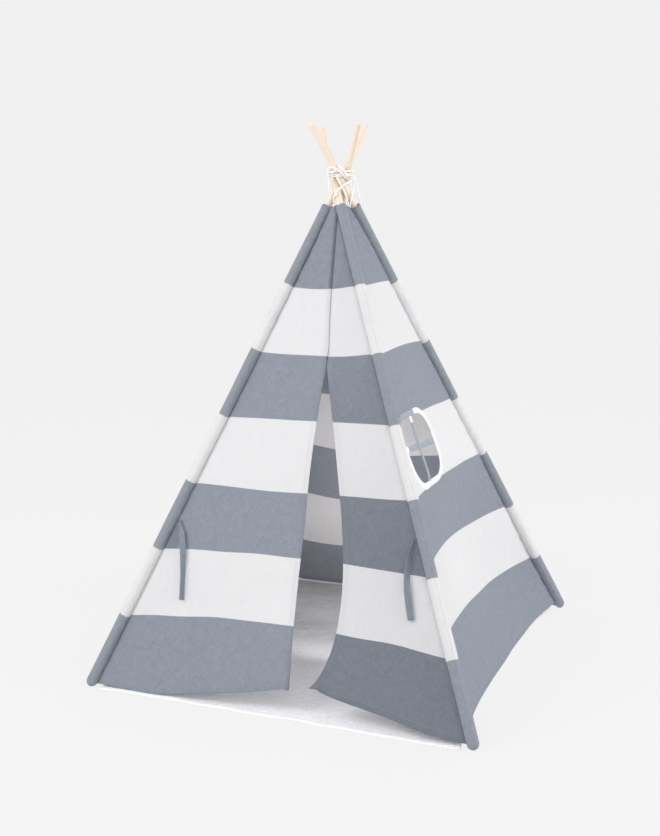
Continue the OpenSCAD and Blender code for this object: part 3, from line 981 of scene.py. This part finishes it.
def build_binding():
    ripple = Ripple(120, 60, 130, 16)
    inner, outer = window_line(0.0), window_line(TRIM_W)
    wide = 1 + 0.10 * Ripple(121, 8, 22, 8)(inner[:, 0], inner[:, 1])
    rows, coords, marks = [], [], []
    arc = arc_length(inner)
    gray_part = (inner[:, 0] < WINDOW_AT[0] + 0.040) & (inner[:, 1] > WINDOW_AT[1] + 0.058)
    for share, n in BINDING:
        uv = inner + (outer - inner) * (share * wide)[:, None]
        u, v = uv[:, 0], uv[:, 1]
        crimp = 0.0005 * ripple(u, v) * (0.3 + share)
        rows.append(on_face(1, u, v, canvas_n(1, u, v) + n + crimp * np.sign(n)))
        coords.append(flat3(arc, np.full_like(arc, share * TRIM_W)))
        marks.append(np.where(gray_part, 0.5, 1.5))
    points = np.stack(rows, axis=1)
    piece = add_mesh("window_binding", points, ring_faces(*points.shape[:2]), tape_canvas,
                     np.stack(coords, axis=1), np.stack(marks, axis=1))
    attach(piece, "cover", "trim_cloth", "window_trim", "window_facing")
    runs = []
    for grow in (0.0045, TRIM_W * 0.72):
        line = window_line(grow)
        line = np.vstack([line, line[:1]])
        for side in (1, -1):
            u, v = sampled(line, along_line(line, STITCH_PITCH)).T
            places = on_face(1, u, v, canvas_n(1, u, v) + side * 0.0024)
            runs.append((places, turned(1, np.broadcast_to(NORMAL * side, places.shape))))
    attach(stitches("window_binding_stitching", runs), "cover", "trim_cloth")


build_binding()


def tape(name, path, sideways, outs, width, material, mark, coords_from):
    """A flat double strip along a path, with its edges rounded. width may change along it."""
    path, sideways, outs = (np.asarray(a, float) for a in (path, sideways, outs))
    width = np.broadcast_to(width, len(path))
    upper = [(-0.49, 0.42), (-0.44, 0.5), (-0.2, 0.5), (0.2, 0.5), (0.44, 0.5), (0.49, 0.42)]
    section = [(-0.5, 0.0)] + upper + [(0.5, 0.0)] + [(x, -y) for x, y in upper[::-1]]
    points = np.stack([path + sideways * (x * width)[:, None] + outs * (y * TAPE_THICK) for x, y in section],
                      axis=1)
    arc = arc_length(path) + coords_from
    coords = np.stack([flat3(x * width, arc) for x, _ in section], axis=1)
    marks = np.broadcast_to(np.asarray(mark, float)[:, None], points.shape[:2])
    return add_mesh(name, points, tube_faces(len(path), len(section)), material, coords, marks)


def twisted(side, out, angle):
    """A tape's two directions across, turned about its length."""
    c, s = np.cos(angle)[:, None], np.sin(angle)[:, None]
    return side * c + out * s, out * c - side * s


def tape_stitches(name, body, path, side, out, offsets, pitch):
    """Two rows of stitches along a tape, on both of its faces."""
    runs = []
    for offset in offsets:
        for face in (1, -1):
            line = path + side * np.asarray(offset)[..., None] + out * (TAPE_THICK / 2) * face
            index = along_line(line, pitch)
            runs.append((sampled(line, index), sampled(out * face, index)))
    attach(stitches(name, runs), body, "trim_cloth")


def window_strap(name, replaced, start, end, lift, white_part, seed):
    t = np.linspace(0, 1, 46)
    u, v = start[0] + (end[0] - start[0]) * t, start[1] + (end[1] - start[1]) * t
    bow = Ripple(seed, 3, 8, 6)
    slack = np.sin(math.pi * t)
    n = canvas_n(1, u, v) * (1 - slack) + slack * np.mean(canvas_n(1, u[[0, -1]], v[[0, -1]]))
    n = n + lift * (0.15 + 0.85 * smooth(slack, 0.25, 0.6))
    n = n + 0.0012 * bow(t, 0 * t) * slack
    path = on_face(1, u, v, n)
    out = turned(1, np.broadcast_to(NORMAL, path.shape))
    side = unit(np.cross(unit(np.gradient(path, axis=0)), out))
    side, out = twisted(side, out, 0.10 * bow(2 * t, 1 + 0 * t) * slack)
    piece = tape(name, path, side, out, STRAP_W, tape_canvas, np.where(t < white_part, 1.5, 0.5), seed * 0.1)
    attach(piece, "cover", "striped_canvas", replaced)
    tape_stitches(f"{name}_stitching", "cover", path, side, out, (-0.0072, 0.0072), STITCH_PITCH)


STRAP_LIFT = 0.0030
window_strap("window_strap_up", "window_strap_upright", (-0.1455, 0.867), (-0.1760, 0.635),
             STRAP_LIFT, 0.13, 131)
window_strap("window_strap_across", "window_strap_cross", (-0.278, 0.7735), (-0.026, 0.7560),
             -STRAP_LIFT, 0.10, 132)


# ---------------- ties
def door_tie(side, at, lean, drift, turn, length):
    """A tie sewn in beside the sleeve; turn is how far it is turned edge-on at its top and at its end."""
    t = np.linspace(0, 1, 60)
    swing = math.radians(lean)
    drop = length * t
    curve = Ripple(140 + (side == "right"), 3, 8, 6)
    sway = drift * np.sin(math.pi * t**0.8) + 0.002 * (curve(t, 0 * t) - curve(0.0, 0.0)) * t
    u = at[0] + np.sin(swing) * drop + np.cos(swing) * sway
    v = at[1] - np.cos(swing) * drop + np.sin(swing) * sway
    n = 0.0045 + 0.004 * np.sin(math.pi * t) + 0.002 * curve(t, 2 + 0 * t) * t
    path = on_face(0, u, v, n)
    ahead = unit(np.gradient(path, axis=0))
    cross = unit(np.cross(ahead, np.broadcast_to(NORMAL, path.shape)))
    twist = turn[0] + (turn[1] - turn[0]) * smooth(t, 0.15, 0.75)
    cross, out = twisted(cross, np.cross(cross, ahead), twist)
    wide = TIE_W * (0.35 + 0.65 * smooth(t, 0.0, 0.16))
    piece = tape(f"{side}_tie_tape", path, cross, out, wide, tie_canvas, np.full(len(t), 0.5), 3.0)
    attach(piece, f"{side}_tie", "striped_canvas", f"door_tie_{side}")
    rows = (-0.38 * wide, 0.38 * wide)
    tape_stitches(f"{side}_tie_stitching", f"{side}_tie", path, cross, out, rows, 0.0045)


door_tie("left", TIE_LEFT, 12, 0.010, (0.1, 1.15), 0.236)
door_tie("right", TIE_RIGHT, 4, -0.014, (1.25, 0.15), 0.222)


# ---------------- floor mat
MAT_W, MAT_WAIST, MAT_FRONT, MAT_BACK = 1.140, 0.040, -0.616, 0.584
MAT_HEM = 0.020
# How dark the mat's painted shade is, from its front edge to the back of the tent
MAT_SHADE_AT = (-0.40, -0.18, 0.02, 0.10, 0.25, 0.48)
MAT_SHADE_BY = (0.0, 0.16, 0.90, 1.0, 0.86, 1.0)


def mat_half(y):
    depth = MAT_BACK - MAT_FRONT
    radius = (depth * depth / 4 + MAT_WAIST**2) / (2 * MAT_WAIST)
    off = np.asarray(y, float) - (MAT_FRONT + MAT_BACK) / 2
    return MAT_W / 2 - MAT_WAIST + radius - np.sqrt(radius**2 - off**2)


MAT_BROAD, MAT_FINE, MAT_EDGE = Ripple(150, 5, 15, 16), Ripple(151, 25, 60, 24), Ripple(152, 20, 55, 12)


def mat_z(x, y):
    rim = np.minimum(np.minimum(y - MAT_FRONT, MAT_BACK - y), mat_half(y) - np.abs(x))
    free = np.exp(-np.maximum(rim, 0) / 0.05)
    fold = 0.0020 * np.maximum(MAT_BROAD(x, y), -0.4) + 0.0007 * MAT_FINE(x, y)
    lift = 0.0022 * np.maximum(MAT_EDGE(x, y), 0) * free
    return 0.0024 + np.maximum(fold + lift, -0.0008)


def build_mat():
    across = np.r_[0, np.linspace(0.02, 0.98, 170), 1]
    down = np.r_[0, np.linspace(0.02, 0.98, 170), 1]
    y = MAT_FRONT + (MAT_BACK - MAT_FRONT) * down[:, None] + 0 * across[None, :]
    x = mat_half(y) * (2 * across[None, :] - 1)
    # The mat carries painted shade, darker towards the back of the tent.
    piece = add_mesh("floor_cloth", np.stack([x, y, mat_z(x, y)], axis=-1), grid_faces(*x.shape), mat_canvas,
                     flat3(x, y), np.full(x.shape, 0.5), table(y, MAT_SHADE_AT, MAT_SHADE_BY))
    thicken(piece, MAT_THICK)
    attach(piece, "cover", "mat_cloth", "floor_mat")

    y_run = np.linspace(MAT_FRONT, MAT_BACK, 200)
    x_run = np.linspace(-1, 1, 200)
    loop = np.vstack([np.stack([x_run * mat_half(MAT_FRONT), np.full(200, MAT_FRONT)], axis=1)[:-1],
                      np.stack([mat_half(y_run), y_run], axis=1)[:-1],
                      np.stack([-x_run * mat_half(MAT_BACK), np.full(200, MAT_BACK)], axis=1)[:-1],
                      np.stack([-mat_half(y_run[::-1]), y_run[::-1]], axis=1)[:-1]])
    ahead = unit(np.roll(loop, -1, axis=0) - np.roll(loop, 1, axis=0))
    inward = np.stack([-ahead[:, 1], ahead[:, 0]], axis=1)
    section = ((1.0, 0.0009), (0.97, 0.0014), (0.5, 0.0018), (0.15, 0.0019), (0.02, 0.0013), (0.0, 0.0002),
               (0.02, -0.0009), (0.15, -0.0014), (0.97, -0.0013), (1.0, -0.0009))
    rows = []
    for share, z in section:
        place = loop + inward * (share * MAT_HEM)
        height = mat_z(place[:, 0], place[:, 1]) + z
        rows.append(np.stack([place[:, 0], place[:, 1], np.maximum(height, 0.0003)], axis=1))
    points = np.stack(rows, axis=1)
    shape = points.shape[:2]
    arc = arc_length(loop)
    coords = np.stack([flat3(arc, np.full_like(arc, s * MAT_HEM)) for s, _ in section], axis=1)
    binding = add_mesh("floor_cloth_binding", points, ring_faces(*shape), mat_canvas, coords,
                       np.full(shape, 0.5))
    attach(binding, "cover", "mat_cloth", "mat_binding")
    line = loop + inward * MAT_HEM * 0.86
    line = np.vstack([line, line[:1]])
    places = sampled(line, along_line(line, 0.0055))
    places = np.column_stack([places, mat_z(places[:, 0], places[:, 1]) + 0.0016])
    seam = stitches("floor_cloth_stitching", [(places, np.broadcast_to([0.0, 0.0, 1.0], places.shape))])
    attach(seam, "cover", "mat_cloth")


build_mat()


# ---------------- poles
def pole_top(k):
    """The upper section: a turned pine pole with a rounded end and the small unevenness of real wood."""
    start = 2 * POLE_LEN / 3 - BUTT_DROP
    shoulder, end = start + FERRULE_LEN / 2, POLE_LEN - BUTT_DROP
    s = [start, start + 0.0008, shoulder - 0.0002]
    r = [SPIGOT_R - 0.0012, SPIGOT_R, SPIGOT_R]
    body = np.arange(shoulder, end - POLE_R, 0.006)
    s += list(body)
    r += [POLE_R] * len(body)
    for a in np.linspace(0, math.pi / 2, 12)[1:]:
        s.append(end - POLE_R + POLE_R * math.sin(a))
        r.append(max(POLE_R * math.cos(a), 0.0002))
    s, r = np.array(s)[:, None], np.array(r)[:, None]
    columns = 36
    angle = (np.arange(columns) * 2 * math.pi / columns)[None, :]
    bumps = Ripple(160 + k, 10, 30, 12)
    knots = np.random.default_rng(170 + k)
    swell = 0.0003 * bumps(0.05 * np.cos(angle), s + 0.03 * np.sin(angle))
    for _ in range(3):
        at, turn = knots.uniform(SLEEVE_TOP + 0.03, end - 0.05), knots.uniform(0, 2 * math.pi)
        away = np.abs((angle - turn + math.pi) % (2 * math.pi) - math.pi)
        swell = swell + 0.0007 * np.exp(-((away / 0.45) ** 2) - (((s - at) / 0.008) ** 2))
    radius = r + (swell - 0.0004) * (r > POLE_R * 0.98)
    return round_points(k, s, radius, angle), tube_faces(*radius.shape)


woods = [wood_material(f"pine_{CORNERS[k]}", AXIS[k]) for k in range(4)]
for k in range(4):
    points, faces = pole_top(k)
    piece = add_mesh(f"{CORNERS[k]}_pole_tip", points, faces, woods[k])
    attach(piece, f"{CORNERS[k]}_pole", "pine", f"{CORNERS[k]}_pole_upper")
    for part in ("lower", "middle"):
        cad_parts[f"{CORNERS[k]}_pole_{part}"].material_slots[0].material = woods[k]
    for part in ("low", "high"):
        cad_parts[f"{CORNERS[k]}_pole_{part}_ferrule"].material_slots[0].material = steel


# ---------------- lashing
LASH_Z = 1.543
LASH_PITCH = 0.0072


def pole_xy(k, z):
    s = (z - FOOT_Z) / AXIS[k][2]
    return FOOT[k][:2] + AXIS[k][:2] * s


def lash_reach(angle, z):
    """How far from the middle a cord drawn tight round the four poles lies, in one direction."""
    def support(a):
        d = np.array([math.cos(a), math.sin(a)])
        return max(float(pole_xy(k, z) @ d) for k in range(4)) + POLE_R * 1.15 + CORD_D * 0.62
    return min(support(angle + da) / math.cos(da) for da in np.linspace(-1.2, 1.2, 49))


def lash_point(angle, z, lift=0.0):
    reach = lash_reach(angle, z) + lift
    return [reach * math.cos(angle), reach * math.sin(angle), z]


def lash_rope(name, points, *replaced):
    path = np.array(points)
    for _ in range(6):
        path[1:-1] = (path[:-2] + 2 * path[1:-1] + path[2:]) / 4
    attach(rope(name, path, CORD_D * 1.1), "cover", "cotton_cord", *replaced)


def build_lashing():
    """Three uneven turns, and two frapping strands that cross them at the front."""
    turns, steps = 3, 120
    wander = Ripple(180, 1.0, 2.5, 8)
    points = []
    for i in range(turns * steps + 1):
        a = 2 * math.pi * i / steps + math.radians(225)
        z = LASH_Z + (i / steps - turns / 2) * LASH_PITCH + 0.0016 * wander(i / steps * 2.2, 0.0)
        points.append(lash_point(a, z))
    lash_rope("lashing_turns", points, "lashing_cord")
    front = math.radians(-67.6)
    for name, start, end in (("lashing_strand_high", (-0.06, 0.020), (0.62, -0.013)),
                             ("lashing_strand_low", (-0.42, 0.016), (0.40, -0.012))):
        points = []
        for t in np.linspace(-0.12, 1.12, 60):
            angle, z = start[0] + (end[0] - start[0]) * t, start[1] + (end[1] - start[1]) * t
            over = 0.0052 * (smooth(t, -0.12, 0.15) * (1 - smooth(t, 0.85, 1.12)))
            over = over * np.exp(-((z / 0.019) ** 4))
            tuck = -0.007 * (1 - smooth(t, -0.12, 0.02) * (1 - smooth(t, 0.98, 1.12)))
            points.append(lash_point(front + angle, LASH_Z + z, over + tuck))
        lash_rope(name, points)


build_lashing()


def build_knot():
    """The loop where the lashing is tied off, at its left."""
    centre = np.array([-0.0085, -0.0430, 1.5525])
    out = np.array([-0.163, -0.987, 0.0])
    side = np.array([-out[1], out[0], 0.0])
    up = np.array([0.0, 0.0, 1.0])
    angle = np.linspace(0, 2 * math.pi, 60)
    loop = (centre + np.outer(np.cos(angle), side * 0.0130) + np.outer(np.sin(angle), up * 0.0075)
            + np.outer(0.0045 + 0.0020 * np.cos(2 * angle) + 0.0012 * angle / math.pi, out))
    attach(rope("lashing_loop", loop, CORD_D * 1.05), "cover", "cotton_cord", "lashing_knot")


build_knot()


# ---------------- floor and light
def floor_material():
    material, tree, shader, out = new_material("pale_floor")
    shader.inputs["Base Color"].default_value = (1.0, 1.0, 1.0, 1)
    shader.inputs["Roughness"].default_value = 1.0
    shader.inputs["Specular IOR Level"].default_value = 0.0
    glow = node(tree, "Emission", {"Color": PALE, "Strength": 1.0})
    mixed = node(tree, "MixShader", {0: 0.91, 1: shader.outputs[0], 2: glow.outputs[0]})
    tree.links.new(mixed.outputs[0], out.inputs[0])
    return material


bpy.ops.mesh.primitive_circle_add(vertices=96, radius=40, fill_type="NGON", location=(0, 0, -0.0004))
floor = bpy.context.object
floor.name = "studio_floor"
floor.data.materials.append(floor_material())

world = bpy.data.worlds.new("studio")
bpy.context.scene.world = world
world.use_nodes = True
world.node_tree.nodes["Background"].inputs["Color"].default_value = PALE
world.node_tree.nodes["Background"].inputs["Strength"].default_value = 1.0
bpy.context.scene.view_settings.view_transform = "Standard"


def area_light(name, at, target, size, power, colour=(1, 1, 1)):
    data = bpy.data.lights.new(name, "AREA")
    data.shape = "DISK"
    data.size, data.energy, data.color = size, power, colour
    lamp = bpy.data.objects.new(name, data)
    lamp.location = at
    lamp.rotation_mode = "QUATERNION"
    lamp.rotation_quaternion = (Vector(target) - Vector(at)).to_track_quat("-Z", "Y")
    bpy.context.scene.collection.objects.link(lamp)


area_light("key", (-2.2, -2.5, 3.1), (-0.1, -0.4, 0.5), 2.0, 58)
area_light("front", (1.4, -4.0, 1.8), (0.2, -0.4, 0.5), 2.6, 15)
area_light("fill", (3.6, 0.3, 2.2), (0.3, 0, 0.6), 2.4, 58)

for name, at, power in (("inside_high", (0.0, -0.02, 0.80), 0.45), ("inside_low", (0.0, -0.02, 0.45), 0.50),
                        ("inside_door", (0.05, -0.40, 0.26), 0.55)):
    glow = bpy.data.lights.new(name, "POINT")
    glow.energy, glow.shadow_soft_size, glow.color = power, 0.16, WARM
    lamp = bpy.data.objects.new(name, glow)
    lamp.location = at
    bpy.context.scene.collection.objects.link(lamp)

area_light("inside_front", (0.0, -0.15, 0.30), (0.0, 0.55, 0.20), 0.3, 1.7, WARM)
